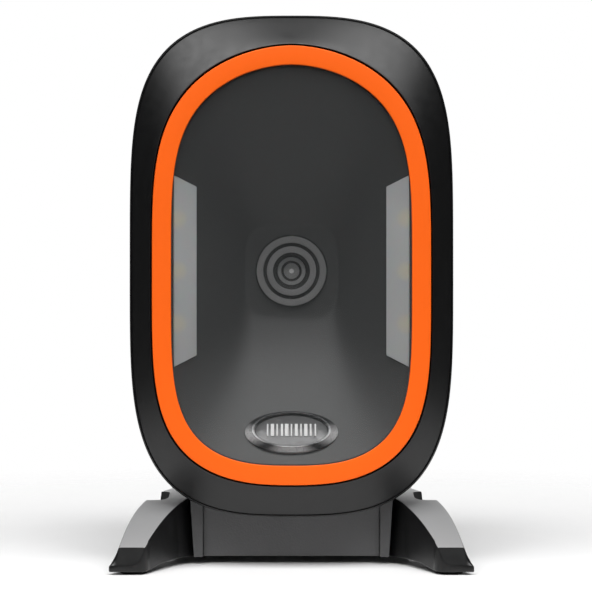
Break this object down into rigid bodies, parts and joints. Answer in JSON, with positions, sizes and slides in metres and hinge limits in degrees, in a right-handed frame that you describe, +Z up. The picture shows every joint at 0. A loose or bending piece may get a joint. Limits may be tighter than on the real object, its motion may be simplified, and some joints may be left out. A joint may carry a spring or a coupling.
{
  "type": "hands-free presentation barcode scanner",
  "caption": "Upright desktop barcode scanner: a rounded head with an orange ring round a smoked window over a lit funnel and lens, tilting on a low splayed stand.",
  "frame": {"origin": "on the table under the middle of the stand", "axes": "+Z up, the head looks along -Y, +X to the right as seen from in front of the scanner"},
  "size_m": [0.097, 0.088, 0.1499],
  "materials": {
    "bezel_plastic": "satin moulded plastic, faint grain",
    "accent_plastic": "smooth satin orange plastic",
    "window_glass": "smoked clear acrylic",
    "gasket_foam": "black foam",
    "funnel_plastic": "finely grained matt plastic",
    "badge_rim": "satin rim with a bright edge",
    "badge_face": "glossy dark dome",
    "badge_mark": "white print",
    "frosted_plastic": "frosted light diffuser",
    "circuit_board": "green solder mask",
    "lamp": "yellow phosphor",
    "screw_steel": "zinc plated",
    "lens_ring": "satin grey",
    "lens_metal": "dark anodised",
    "lens_glass": "coated glass",
    "black_plastic": "matt black",
    "chip": "black epoxy",
    "ribbon": "flat film cable",
    "capacitor": "aluminium can",
    "contact_metal": "gold plated",
    "housing_plastic": "matt spark-eroded texture",
    "label": "blank printed film",
    "stand_plastic": "grained charcoal plastic",
    "panel_plastic": "grained charcoal plastic",
    "leg_plastic": "satin charcoal plastic",
    "axle_steel": "ground steel",
    "friction_pad": "fibre friction disc",
    "ballast_steel": "plain steel block",
    "foot_rubber": "soft rubber"
  },
  "bodies": {
    "head": {"front_bezel": "bezel_plastic", "accent_ring": "accent_plastic", "scan_window": "window_glass", "window_gasket": "gasket_foam", "optical_funnel": "funnel_plastic", "badge_bezel": "badge_rim", "badge_plate": "badge_face", "badge_emblem": "badge_mark", "left_diffuser": "frosted_plastic", "right_diffuser": "frosted_plastic", "left_lamp_board": "circuit_board", "right_lamp_board": "circuit_board", "left_lamps": "lamp", "right_lamps": "lamp", "lamp_board_screws": "screw_steel", "lens_bezel": "lens_ring", "lens_barrel": "lens_metal", "lens_retainer": "lens_metal", "front_lens": "lens_glass", "lens_holder": "black_plastic", "sensor_board": "circuit_board", "image_sensor": "chip", "sensor_board_screws": "screw_steel", "sensor_ribbon": "ribbon", "main_board": "circuit_board", "decoder_chip": "chip", "memory_chip": "chip", "board_capacitors": "capacitor", "main_board_screws": "screw_steel", "beeper": "black_plastic", "cable_socket": "black_plastic", "socket_contacts": "contact_metal", "rear_housing": "housing_plastic", "rear_label": "label", "housing_screws": "screw_steel", "tilt_neck": "stand_plastic", "neck_screws": "screw_steel"},
    "stand": {"hub": "stand_plastic", "hub_front_panel": "panel_plastic", "hub_rear_cover": "stand_plastic", "cover_screws": "screw_steel", "left_leg": "leg_plastic", "right_leg": "leg_plastic", "leg_screws": "screw_steel", "hinge_axle": "axle_steel", "friction_washers": "friction_pad", "spring_washer": "axle_steel", "ballast": "ballast_steel", "foot_pads": "foot_rubber"}
  },
  "joints": [
    {"name": "head_tilt", "type": "hinge", "parent": "stand", "child": "head", "pos_m": [0, -0.005, 0.011], "axis": [1, 0, 0], "range_deg": [-20, 8]}
  ]
}
